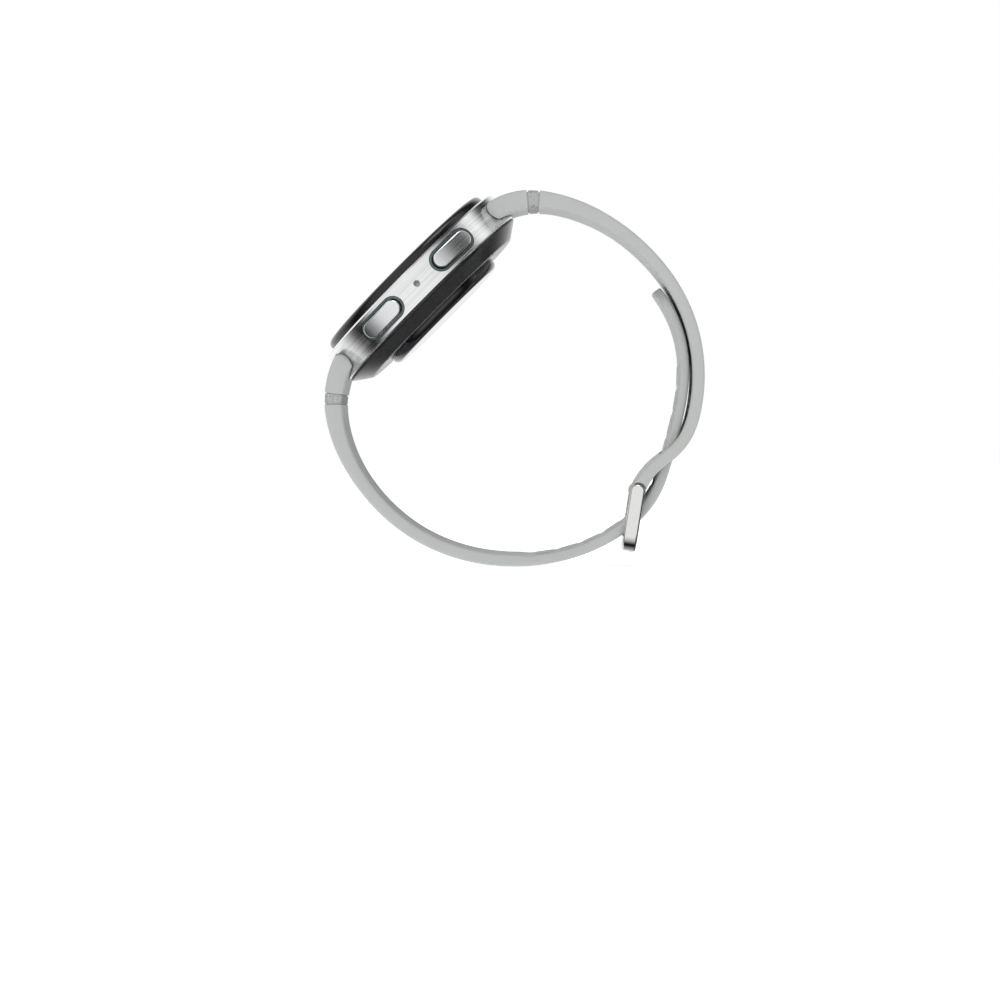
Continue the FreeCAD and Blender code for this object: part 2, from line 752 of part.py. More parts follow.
def spring_bar_spring(name, side):
    """Coil spring between the two pins."""
    spring = doc.addObject("Part::Feature", f"{name}_bar_spring")
    spring.Label = f"{name}_bar_spring"
    half, coil, wire, turns = 4.35, 0.34, 0.1, 14
    helix = Part.makeHelix((2 * half - 2 * wire) / turns, 2 * half - 2 * wire, coil)
    ring = Part.Wire(Part.makeCircle(wire, Vector(coil, 0, 0), Vector(0, 1, 0)))
    shape = Part.Wire(helix.Edges).makePipeShell([ring], True, True)
    shape.Placement = Placement(
        Vector(wire - half, number(dim.bar_offset) * side, number(dim.bar_height)),
        Rotation(Vector(0, 1, 0), 90),
    )
    spring.Shape = shape
    pieces.append(spring)


# ---------------------------------------------------------------- straps


def on_loop(angle, radius):
    """A point of a side sketch, from its angle and radius about the middle of the band's loop."""
    centre = Vector(number(dim.loop_centre_along), number(dim.loop_centre_up), 0)
    return centre + Vector(cos(radians(angle)), sin(radians(angle)), 0) * radius


def smooth_line(points):
    curve = Part.BSplineCurve()
    curve.interpolate(points)
    return curve


def centre_line(path):
    return smooth_line([on_loop(angle, radius) for angle, radius, _ in path])


def ribbon(sketch, path):
    """The side view of a strap: a smooth curve on each side of its centre line, closed at both ends."""
    middle = centre_line(path)
    sides = []
    for half in (0.5, -0.5):
        points = []
        for angle, radius, thickness in path:
            point = on_loop(angle, radius)
            along = middle.tangent(middle.parameter(point))[0]
            points.append(point + Vector(-along.y, along.x, 0) * thickness * half)
        sides.append(smooth_line(points))
    first, second = sides
    far = Part.LineSegment(first.EndPoint, second.EndPoint)
    near = Part.LineSegment(second.StartPoint, first.StartPoint)
    return add_closed(sketch, [first, far, second, near])


def add_closed(sketch, curves):
    """Fixed curves that already meet end to end."""
    for curve in curves:
        geometry = sketch.addGeometry(curve)
        sketch.addConstraint(Sketcher.Constraint("Block", geometry))
    return sketch


def shoulder_arc(side, gap=0.0):
    """The round edge of a strap's shoulder, towards the middle of the case."""
    centre = Vector(number(dim.shoulder_offset) * side, number(dim.shoulder_height), 0)
    whole = Part.Circle(centre, Vector(0, 0, 1), number(dim.shoulder_radius) + number(gap))
    start = 115 if side > 0 else -65
    return Part.ArcOfCircle(whole, radians(start), radians(start + 130))


def shoulder_trim(sketch, side):
    """Everything on the case's side of the shoulder's round edge."""
    curve = shoulder_arc(side)
    low, high = 3.4, 10.4
    last, first = (low, high) if side > 0 else (high, low)
    edge, far = curve.StartPoint.x, 13 * side
    corners = [
        curve.EndPoint, Vector(edge, last, 0), Vector(far, last, 0),
        Vector(far, first, 0), Vector(edge, first, 0), curve.StartPoint,
    ]
    lines = [Part.LineSegment(start, end) for start, end in zip(corners, corners[1:])]
    return add_closed(sketch, [curve] + lines)


def strap_blank(body, path, side):
    """A strap with its round tongue, narrowed where it enters the pocket, and the spring bar's bore."""
    pad(ribbon(side_sketch(body), path), dim.band_width, middle=True)
    for way in (1, -1):
        edge = side_sketch(body, dim.tongue_width / 2 * way)
        pocket(shoulder_trim(edge, side), 4, back=way > 0)
    pad(bar_circle(body, 0, dim.lug_radius - 0.15, side), dim.tongue_width, middle=True)
    pocket(bar_circle(body, 0, dim.tube_radius + 0.03, side), 30, middle=True)


def buckle_circle(body, across, radius):
    return circle(side_sketch(body, across), radius, dim.buckle_along, dim.buckle_up)


def strap_upper():
    """The 12 o'clock strap: it carries the buckle and has the slot that the free end is tucked into."""
    body = new_body("strap_upper")
    strap_blank(body, UPPER_PATH, 1)
    for way in (1, -1):
        shoulder = buckle_circle(body, dim.slot_width / 2 * way - 0.2 * way, dim.arm_radius + 0.35)
        pocket(shoulder, 3, back=way > 0)
    pad(buckle_circle(body, 0, 1.45), dim.slot_width - 0.4, middle=True)
    pocket(buckle_circle(body, 0, 2.0), dim.tang_width + 0.6, middle=True)
    pocket(buckle_circle(body, 0, dim.tube_radius + 0.03), dim.slot_width, middle=True)
    low, high = SLOT_SPAN
    slot = [(angle, radius, SLOT_HEIGHT) for angle, radius, _ in LOWER_PATH if low <= angle <= high]
    pocket(ribbon(side_sketch(body), slot), dim.slot_width, middle=True)


def strap_lower():
    """The 6 o'clock strap: it narrows to a free end with a row of long holes."""
    body = new_body("strap_lower")
    strap_blank(body, LOWER_PATH, -1)
    half, wide = dim.tail_width / 2, dim.band_width / 2
    for way in (1, -1):
        points = [(wide, -24), (half, -11), (half, 40), (wide + 1, 40), (wide + 1, -24)]
        trim = outline(level_sketch(body, -20), *[(across * way, along) for across, along in points])
        pocket(trim, 40)
    soften(body, "Fillet", 4, tail_corner)
    tang_hole(body)
    for step in range(-HOLES_BEFORE_TANG, HOLES_AFTER_TANG + 1):
        if step:
            tail_hole(body, step)


def tail_corner(edge):
    """Picks the two short edges at the corners of the free end."""
    tip = on_loop(*LOWER_PATH[-1][:2])
    middle = edge.CenterOfMass
    near = Vector(middle.y, middle.z, 0).distanceToPoint(tip) < 0.3
    return near and abs(abs(middle.x) - number(dim.tail_width) / 2) < 0.01


def tang_place():
    """Where the tang crosses the free end, as a length along the lower strap's centre line."""
    middle = centre_line(LOWER_PATH)
    bar = Vector(number(dim.buckle_along), number(dim.buckle_up), 0)
    lean = radians(number(dim.buckle_angle))
    reach = bar + Vector(cos(lean), sin(lean), 0) * 4.3 + Vector(-sin(lean), cos(lean), 0) * 0.35
    return middle, middle.length(middle.FirstParameter, middle.parameter(reach))


def tang_hole(body):
    """The hole in use leans over along the tang."""
    sketch = rectangle(buckle_sketch(body), 1.5, 7.5, -0.7, 1.4)
    pocket(sketch, dim.hole_width, middle=True)


def tail_hole(body, step):
    """One long hole, square to the strap, at so many pitches from the one in use."""
    middle, start = tang_place()
    place = middle.parameterAtDistance(start + number(dim.hole_pitch) * step, middle.FirstParameter)
    point = middle.value(place)
    along = middle.tangent(place)[0]
    lean = degrees(Vector(0, 1, 0).getAngle(Vector(-along.y, along.x, 0)))
    lean = lean if along.y > 0 else -lean
    rotation = Rotation(Vector(1, 0, 0), lean)
    offset = Vector(0, point.x, point.y)
    sketch = new_sketch(body, "XY_Plane", offset, rotation.multiply(Rotation(Vector(0, 0, 1), 90)))
    pocket(pill(sketch, dim.hole_length, dim.hole_width), 5, middle=True)


# ---------------------------------------------------------------- buckle


def buckle_frame():
    """Two arms joined by a far bar that is notched for the tang."""
    body = new_body("buckle_frame")
    pad(
        rectangle(buckle_sketch(body), 0, dim.buckle_length, -dim.arm_radius, dim.arm_radius),
        dim.buckle_width,
        middle=True,
    )
    pad(buckle_circle(body, 0, dim.arm_radius), dim.buckle_width, middle=True)
    inside = rectangle(buckle_sketch(body), -3, dim.buckle_length - 2.4, -3, 3)
    pocket(inside, dim.slot_width, middle=True)
    soften(body, "Fillet", dim.buckle_corner, far_buckle_corner)
    soften(body, "Fillet", 0.35, outer_buckle_edge)
    notch = rectangle(buckle_sketch(body), dim.buckle_length - 3, dim.buckle_length + 1, 0.25, 3)
    pocket(notch, dim.tang_width + 0.4, middle=True)
    pocket(buckle_circle(body, 0, 0.55), dim.pivot_reach * 2 + 0.1, middle=True)


def along_buckle(point):
    """(length along the buckle's arms, height above them) of a point."""
    lean = radians(number(dim.buckle_angle))
    along, up = point.y - number(dim.buckle_along), point.z - number(dim.buckle_up)
    return along * cos(lean) + up * sin(lean), up * cos(lean) - along * sin(lean)


def far_buckle_corner(edge):
    """Picks the two short edges at the buckle's far corners."""
    wide, length = number(dim.buckle_width) / 2, number(dim.buckle_length)
    points = edge.discretize(3)
    return all(abs(abs(p.x) - wide) < 1e-3 and abs(along_buckle(p)[0] - length) < 1e-3 for p in points)


def outer_buckle_edge(edge):
    """Picks the edges of the buckle's outer sides, its far corners and its far end."""
    points = edge.discretize(5)
    reach = [along_buckle(point) for point in points]
    wide, length = number(dim.buckle_width) / 2, number(dim.buckle_length)
    arm = number(dim.arm_radius)
    on_face = all(abs(abs(height) - arm) < 1e-3 for _, height in reach)
    clear = number(dim.slot_width) / 2 + 0.2
    outside = all(abs(p.x) > clear or place > length - 0.2 for p, (place, _) in zip(points, reach))
    round_end = all(abs(abs(p.x) - wide) < 1e-3 for p in points)
    return round_end or (on_face and outside and any(place > 0.1 for place, _ in reach))


def buckle_bar():
    body = new_body("buckle_bar")
    pad(buckle_circle(body, 0, 0.5), dim.pivot_reach * 2, middle=True)
    pad(buckle_circle(body, 0, dim.tube_radius), dim.slot_width - 0.1, middle=True)


def buckle_tang():
    """Prong that pivots on the buckle bar and rests in the far bar's notch."""
    body = new_body("buckle_tang")
    tip = dim.buckle_length + 0.3
    shank = outline(
        buckle_sketch(body),
        (0.5, -0.35),
        (4.5, -0.1),
        (8, 0.32),
        (tip, 0.32),
        (tip, 0.9),
        (8, 1.2),
        (4.5, 0.8),
        (0.5, 0.6),
    )
    pad(shank, dim.tang_width, middle=True)
    pad(buckle_circle(body, 0, 1.3), dim.tang_width, middle=True)
    pocket(buckle_circle(body, 0, dim.tube_radius + dim.running_gap), 10, middle=True)


# ---------------------------------------------------------------- assembly


def check_document():
    """Stop if any object failed, or if any piece is empty or broken."""
    for item in doc.Objects:
        if "Invalid" in item.State or "Error" in item.State:
            raise RuntimeError(f"{item.Label} failed: {item.State}")
    for piece in pieces:
        if piece.Shape.isNull() or not piece.Shape.Solids or not piece.Shape.isValid():
            raise RuntimeError(f"{piece.Label} has no valid shape")


for make in (
    case_frame, back_cover, back_seal, back_screws, sensor_window, bezel_ring, cover_glass,
    display_seal, display_panel, display_plate, display_flex, inner_bracket, battery, haptic_motor,
    main_board, board_chips, board_shield, microphone, sensor_board, sensor_shroud, sensor_diodes,
    charging_coil, ferrite_sheet, strap_upper, strap_lower, buckle_frame, buckle_bar, buckle_tang,
):
    make()
for name, side in (("upper", 1), ("lower", -1)):
    for make in (button_cap, button_ring, button_seal, button_clip, button_switch):
        make(name, dim.button_angle * side)
    spring_bar_tube(name, side)
    spring_bar_spring(name, side)
    for hand, way in (("right", 1), ("left", -1)):
        spring_bar_pin(name, side, hand, way)

tilt = Placement(Vector(), Rotation(Vector(1, 0, 0), number(dim.tilt_angle)))
for piece in pieces:
    piece.Placement = tilt.multiply(piece.Placement)
doc.recompute()
check_document()
os.makedirs("parts", exist_ok=True)
for piece in pieces:
    piece.Shape.exportStep(f"parts/{piece.Label}.step")
    print(f"{piece.Label}: {len(piece.Shape.Solids)} solid(s), {piece.Shape.Volume:.2f} mm3")
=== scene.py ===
import math

import bmesh
import bpy
import numpy as np
from mathutils import Matrix, Vector


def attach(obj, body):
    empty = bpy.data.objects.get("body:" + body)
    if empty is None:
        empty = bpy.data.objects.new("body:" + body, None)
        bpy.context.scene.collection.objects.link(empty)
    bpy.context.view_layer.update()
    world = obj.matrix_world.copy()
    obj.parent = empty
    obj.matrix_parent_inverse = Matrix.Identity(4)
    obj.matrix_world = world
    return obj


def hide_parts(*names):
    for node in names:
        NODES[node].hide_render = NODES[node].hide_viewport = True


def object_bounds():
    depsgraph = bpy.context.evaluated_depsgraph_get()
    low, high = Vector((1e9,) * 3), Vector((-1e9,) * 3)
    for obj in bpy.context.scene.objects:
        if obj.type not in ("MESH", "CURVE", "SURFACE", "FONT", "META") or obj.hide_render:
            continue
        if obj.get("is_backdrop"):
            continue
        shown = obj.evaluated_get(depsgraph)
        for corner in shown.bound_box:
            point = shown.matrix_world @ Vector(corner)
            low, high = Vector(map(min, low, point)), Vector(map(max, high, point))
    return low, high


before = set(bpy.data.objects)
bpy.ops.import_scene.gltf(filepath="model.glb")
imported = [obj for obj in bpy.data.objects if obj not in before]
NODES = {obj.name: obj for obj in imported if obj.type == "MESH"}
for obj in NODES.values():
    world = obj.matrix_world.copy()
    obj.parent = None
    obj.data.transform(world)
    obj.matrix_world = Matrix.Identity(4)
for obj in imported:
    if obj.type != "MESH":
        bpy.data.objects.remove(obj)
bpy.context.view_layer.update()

# The watch is described upright, in millimetres: the display faces +Z, 12 o'clock is +Y and
# 3 o'clock is +X. The CAD frame has it tipped about X, and is in metres.
TILT = math.radians(45)
TO_FRAME = Matrix.Rotation(TILT, 4, "X") @ Matrix.Scale(0.001, 4)
FACE_AXIS = (TO_FRAME.to_3x3() @ Vector((0, 0, 1))).normalized()

# Names that end in HALF are half widths, measured across the band from its middle. Points are
# (Y, Z) in the side view.
BAND_HALF = 10.4
BAND_CORNER = 0.5
STATION_GAP = 0.55
END_ROUND = 0.3

# The tongues inside the case, and the spring bars they turn on.
BAR_OFFSET = 16.1
BAR_HEIGHT = 6.9
BORE_RADIUS = 0.78
BORE_HALF = 9
TONGUE_HALF = 8.2
TONGUE_RADIUS = 1.65
TONGUE_SINK = 0.03
TONGUE_OVERLAP = 0.5
SHOULDER = Vector((19.58, 6.75))
SHOULDER_RADIUS = 2.1

# The stripe round each strap: the insert, and the groove at each side of it.
UPPER_ACCENT = Vector((24.96, 3.76))
LOWER_ACCENT = Vector((-24.25, 3.39))
ACCENT_HALF = 0.82
ACCENT_DEPTH = 0.12
GROOVE = 0.22
GROOVE_DEPTH = 0.32

# The buckle's end of the upper strap: the eye about the buckle's bar, and the room cut into it.
BUCKLE = Vector((1.69, -45.18))
BUCKLE_ANGLE = math.radians(216)
BUCKLE_ALONG = Vector((math.cos(BUCKLE_ANGLE), math.sin(BUCKLE_ANGLE)))
BUCKLE_UP = Vector((-BUCKLE_ALONG.y, BUCKLE_ALONG.x))
SLOT_HALF = 8.6
SLOT_RISE = 1.375
SLOT_CORNER = 0.45
EYE_RADIUS = 1.38
EYE_HALF = SLOT_HALF - 0.2
ARM_ROOM_RADIUS = 1.55
ARM_ROOM_HALF = 1.6
ARM_ROOM_OFFSET = SLOT_HALF + 1.4
TANG_ROOM_RADIUS = 2.0
TANG_ROOM_HALF = 1.25
BAR_ROOM_HALF = 9.5

# The free end: its taper, the holes, and the opening that the tang passes through. Its inner face
# is sunk a little, and the pads stand up from it.
TAIL_HALF = 8.2
TAIL_CORNER = 4.0
TAPER_BELOW = -20
TAPER_FROM = -24
TAPER_RUN = 13
HOLE_PITCH = 4.4
HOLE_LENGTH = 2.6
HOLE_WIDTH = 2.3
HOLE_SEGMENTS = 32
CUTTER_REACH = 2.2
TANG_HOLE = (4.3, 0.35)
TANG_OPENING = ((1.5, -0.7), (7.5, -0.7), (7.5, 1.4), (1.5, 1.4))
TAIL_SINK = 0.2
TAIL_SINK_LEAD = 5
TAIL_SINK_RUN = 2.5
PAD_HALF = 6.4
PAD_DEPTH = 0.7
PAD_SINK = 0.06
PAD_CORNER = 0.12
PAD_EDGE = ((-1.85, 0.26), (-1.78, 0.08), (-1.55, 0), (1.55, 0), (1.78, 0.08), (1.85, 0.26))

# Angles and radii about the loop's middle, where the slot starts and ends.
LOOP_CENTRE = Vector((0.5, -16.2))
SLOT_START = (280, 30.85)
SLOT_END = (304, 29.1)

# Centre lines of the straps: angle in degrees and radius about the loop's middle, and thickness.
UPPER_PATH = [
    (56.0, 27.87, 3.3), (52.5, 29.1, 3.4), (46, 30.45, 3.4), (40, 31.1, 3.2), (33, 31.35, 2.85),
    (24, 31.4, 2.6), (12, 31.4, 2.3), (-4, 31.5, 2.15), (-20, 31.8, 2.1), (-38, 31.9, 2.1),
    (-54, 31.75, 2.1), (-63, 31.4, 2.1), (-69.5, 30.4, 2.1), (-75, 29.1, 2.15), (-80, 28.5, 2.2),
    (-84.5, 28.6, 2.3), (-87.65, 29.0, 2.4),
]
LOWER_PATH = [
    (125.7, 28.44, 3.3), (129, 29.7, 3.4), (135, 30.85, 3.4), (142, 31.7, 3.2), (150, 32.1, 2.9),
    (162, 32.2, 2.5), (176, 32.1, 2.3), (192, 32.0, 2.25), (208, 31.8, 2.2), (225, 31.65, 2.1),
    (242, 31.85, 2.05), (257, 32.0, 2.05), (265, 31.95, 2.05), (272, 31.7, 2.0), (280, 30.85, 1.95),
    (288, 29.8, 1.9), (296, 29.2, 1.85), (304, 29.1, 1.85), (318, 29.4, 1.85), (330, 29.5, 1.85),
    (341, 29.2, 1.85), (347, 28.9, 1.85),
]


# ---------------------------------------------------------------- centre lines


def natural_spline(knots, values):
    """Second derivatives of the smooth curve through the values."""
    count = len(knots)
    gap = np.diff(knots)
    matrix = np.eye(count)
    right = np.zeros_like(values)
    for i in range(1, count - 1):
        matrix[i, i - 1], matrix[i, i + 1] = gap[i - 1], gap[i]
        matrix[i, i] = 2 * (gap[i - 1] + gap[i])
        after = (values[i + 1] - values[i]) / gap[i]
        before = (values[i] - values[i - 1]) / gap[i - 1]
        right[i] = 6 * (after - before)
    return np.linalg.solve(matrix, right)


class Line:
    """A strap's centre line in the side view, by length from its spring bar."""

    def __init__(self, path):
        turn = np.radians([row[0] for row in path])
        reach = np.array([row[1] for row in path])
        points = np.stack(
            [LOOP_CENTRE.x + reach * np.cos(turn), LOOP_CENTRE.y + reach * np.sin(turn)], 1
        )
        thick = np.array([[row[2]] for row in path])
        self.values = np.hstack([points, thick])
        self.knots = np.concatenate([[0], np.cumsum(np.linalg.norm(np.diff(points, axis=0), axis=1))])
        self.bend = natural_spline(self.knots, self.values)
        self.length = self.knots[-1]

    def at(self, place):
        """(point, direction, thickness) at a length along the line."""
        i = int(np.clip(np.searchsorted(self.knots, place) - 1, 0, len(self.knots) - 2))
        h = self.knots[i + 1] - self.knots[i]
        a, b = (self.knots[i + 1] - place) / h, (place - self.knots[i]) / h
        low, high = self.values[i], self.values[i + 1]
        value = a * low + b * high
        value = value + ((a**3 - a) * self.bend[i] + (b**3 - b) * self.bend[i + 1]) * h * h / 6
        slope = (high - low) / h
        slope = slope + ((3 * b * b - 1) * self.bend[i + 1] - (3 * a * a - 1) * self.bend[i]) * h / 6
        return Vector(value[:2]), Vector(slope[:2]).normalized(), float(value[2])

    def nearest(self, point):
        """The length along the line at which it comes nearest to a point."""
        places = np.linspace(0, self.length, 4000)
        gaps = [(self.at(place)[0] - point).length for place in places]
        return float(places[int(np.argmin(gaps))])


def on_loop(degrees, reach):
    """A point by its angle and radius about the loop's middle."""
    return LOOP_CENTRE + reach * Vector((math.cos(math.radians(degrees)), math.sin(math.radians(degrees))))


UPPER = Line(UPPER_PATH)
LOWER = Line(LOWER_PATH)


# ---------------------------------------------------------------- mesh tools


def to_frame(across, point):
    return TO_FRAME @ Vector((across, point.x, point.y))


def mesh_object(name, bm):
    bmesh.ops.recalc_face_normals(bm, faces=bm.faces)
    mesh = bpy.data.meshes.new(name)
    bm.to_mesh(mesh)
    bm.free()
    obj = bpy.data.objects.new(name, mesh)
    bpy.context.scene.collection.objects.link(obj)
    return obj


def join_rings(bm, rings):
    """Skin a row of equal rings and close both ends."""
    count = len(rings[0])
    for one, other in zip(rings, rings[1:]):
        for i in range(count):
            bm.faces.new((one[i], one[(i + 1) % count], other[(i + 1) % count], other[i]))
    bm.faces.new(rings[0])
    bm.faces.new(rings[-1])


def section(half_width, low, high, corner, steps=4, rows=10, side_rows=1):
    """A rounded box as (across, up) points, with extra points along its flat sides."""
    corner = min(corner, (high - low) / 2 * 0.98, half_width * 0.98)
    spots = []
    for sign_x, sign_y, start in ((1, 1, 0), (-1, 1, 90), (-1, -1, 180), (1, -1, 270)):
        centre_x = sign_x * (half_width - corner)
        centre_y = (high if sign_y > 0 else low) - sign_y * corner
        for step in range(steps + 1):
            turn = math.radians(start + 90 * step / steps)
            spots.append((centre_x + corner * math.cos(turn), centre_y + corner * math.sin(turn)))
        from_x, from_y = spots[-1]
        count = rows if start in (0, 180) else side_rows
        to_x, to_y = (-from_x, from_y) if start in (0, 180) else (from_x, low + high - from_y)
        for step in range(1, count):
            part = step / count
            spots.append((from_x + (to_x - from_x) * part, from_y + (to_y - from_y) * part))
    return spots


def loft(name, line, stations):
    """A strap skin. Each station is (place, half width, lower side, upper side, corner)."""
    bm = bmesh.new()
    rings = []
    for place, half_width, low, high, corner in stations:
        point, along, _ = line.at(place)
        up = Vector((-along.y, along.x))
        ring = [
            bm.verts.new(to_frame(across, point + up * rise))
            for across, rise in section(half_width, low, high, corner)
        ]
        rings.append(ring)
    join_rings(bm, rings)
    return mesh_object(name, bm)


def extruded(name, outline, half_width):
    """A side-view outline drawn out to both sides."""
    bm = bmesh.new()
    rings = [
        [bm.verts.new(to_frame(across, point)) for point in outline]
        for across in (-half_width, half_width)
    ]
    join_rings(bm, rings)
    return mesh_object(name, bm)


def disc(centre, radius, steps=48):
    return [
        centre + Vector((math.cos(turn), math.sin(turn))) * radius
        for turn in (2 * math.pi * step / steps for step in range(steps))
    ]


def combine(obj, other, operation):
    """Boolean the other piece into obj and drop it."""
    step = obj.modifiers.new("combine", "BOOLEAN")
    step.object = other
    step.operation = operation
    step.solver = "EXACT"
    bpy.context.view_layer.objects.active = obj
    bpy.ops.object.modifier_apply(modifier=step.name)
    bpy.data.objects.remove(other)


def finish_mesh(obj, sharp=38):
    """Weld, smooth the faces and keep the true corners crisp."""
    bm = bmesh.new()
    bm.from_mesh(obj.data)
    bmesh.ops.remove_doubles(bm, verts=bm.verts, dist=2e-6)
    bmesh.ops.dissolve_degenerate(bm, edges=bm.edges, dist=1e-6)
    for face in bm.faces:
        face.smooth = True
    for edge in bm.edges:
        edge.smooth = edge.calc_face_angle(0) < math.radians(sharp)
    bm.to_mesh(obj.data)
    bm.free()
    return obj


# ---------------------------------------------------------------- strap shapes


def accent_depth(distance):
    """How far the stripe round each strap lies below its surface, at a distance from its middle."""
    off = abs(distance)
    if off < ACCENT_HALF:
        return ACCENT_DEPTH
    if off < ACCENT_HALF + GROOVE:
        return GROOVE_DEPTH
    return 0.0


def accent_places(middle):
    """Places close to both sides of each step in the stripe's outline."""
    edge, groove = ACCENT_HALF, ACCENT_HALF + GROOVE
    offsets = (groove + 0.05, groove, edge + 0.03, edge - 0.03)
    return [middle + side * offset for side in (-1, 1) for offset in offsets]


def band_stations(line, nose, accent, end, width_at):
    """Stations from the rounded shoulder to the far end, closer together where the shape turns."""
    start = nose - SHOULDER_RADIUS
    places = [start + SHOULDER_RADIUS * (1 - math.cos(turn)) for turn in np.linspace(0.12, 1.45, 12)]
    places += list(np.arange(nose + 0.4, end, STATION_GAP))
    places += accent_places(accent)
    places += [end - END_ROUND, end - 0.12, end - 0.03, end]
    stations = []
    for place in sorted(set(places)):
        _, _, thick = line.at(place)
        half = thick / 2
        inset = 0.0
        if place < nose:
            rise = math.sqrt(max(SHOULDER_RADIUS**2 - (nose - place) ** 2, 0.02))
            half = min(half, rise)
            inset = 0.35 * (1 - min((place - start) / 0.6, 1)) ** 2
        depth = accent_depth(place - accent)
        tip = END_ROUND * (1 - min((end - place) / END_ROUND, 1)) ** 2
        width = width_at(place) - depth - inset - tip
        stations.append((place, width, -half + depth + tip * 0.8, half - depth - tip * 0.8, BAND_CORNER))
    return stations


def tongue(name, line, side, reach):
    """The part of a strap inside the case, with its round end about the spring bar."""
    bar = Vector((BAR_OFFSET * side, BAR_HEIGHT))
    upper, lower = [], []
    for place in np.linspace(0.15, reach, 14):
        point, along, thick = line.at(place)
        up = Vector((-along.y, along.x))
        upper.append(point + up * (thick / 2 - TONGUE_SINK))
        lower.append(point - up * (thick / 2 - TONGUE_SINK))
    blade = extruded(name, upper + lower[::-1], TONGUE_HALF)
    combine(blade, extruded("round_end", disc(bar, TONGUE_RADIUS), TONGUE_HALF), "UNION")
    return blade


def pill_cutter(place):
    """A long round-ended plug through the free end, flared a little at both mouths."""
    point, along, thick = LOWER.at(place)
    up = Vector((-along.y, along.x))
    bm = bmesh.new()
    rings = []
    levels = (
        (-CUTTER_REACH, 0.9), (-thick / 2 - 0.25, 0.42), (-thick / 2 + 0.22, 0),
        (thick / 2 - 0.22, 0), (thick / 2 + 0.1, 0.3), (CUTTER_REACH, 0.9),
    )
    for rise, flare in levels:
        radius = HOLE_WIDTH / 2 + flare
        half = (HOLE_LENGTH - HOLE_WIDTH) / 2
        ring = []
        for step in range(HOLE_SEGMENTS):
            turn = 2 * math.pi * step / HOLE_SEGMENTS
            forward = radius * math.cos(turn) + (half if math.cos(turn) > 0 else -half)
            across = radius * math.sin(turn)
            spot = point + along * forward + up * rise
            ring.append(bm.verts.new(to_frame(across, spot)))
        rings.append(ring)
    join_rings(bm, rings)
    return mesh_object("cutter", bm)


# ---------------------------------------------------------------- camera


scene = bpy.context.scene
camera_data = bpy.data.cameras.new("camera")
camera = bpy.data.objects.new("camera", camera_data)
scene.collection.objects.link(camera)
scene.camera = camera
camera_data.sensor_width = 36
camera_data.lens = 153
camera_data.clip_start = 0.01
camera_data.clip_end = 20
camera.location = (0.747, 0.0188, -0.0219)
aim = Vector((0, 0.0091, -0.0324)) - camera.location
camera.rotation_mode = "QUATERNION"
camera.rotation_quaternion = aim.to_track_quat("-Z", "Y")


# ---------------------------------------------------------------- materials


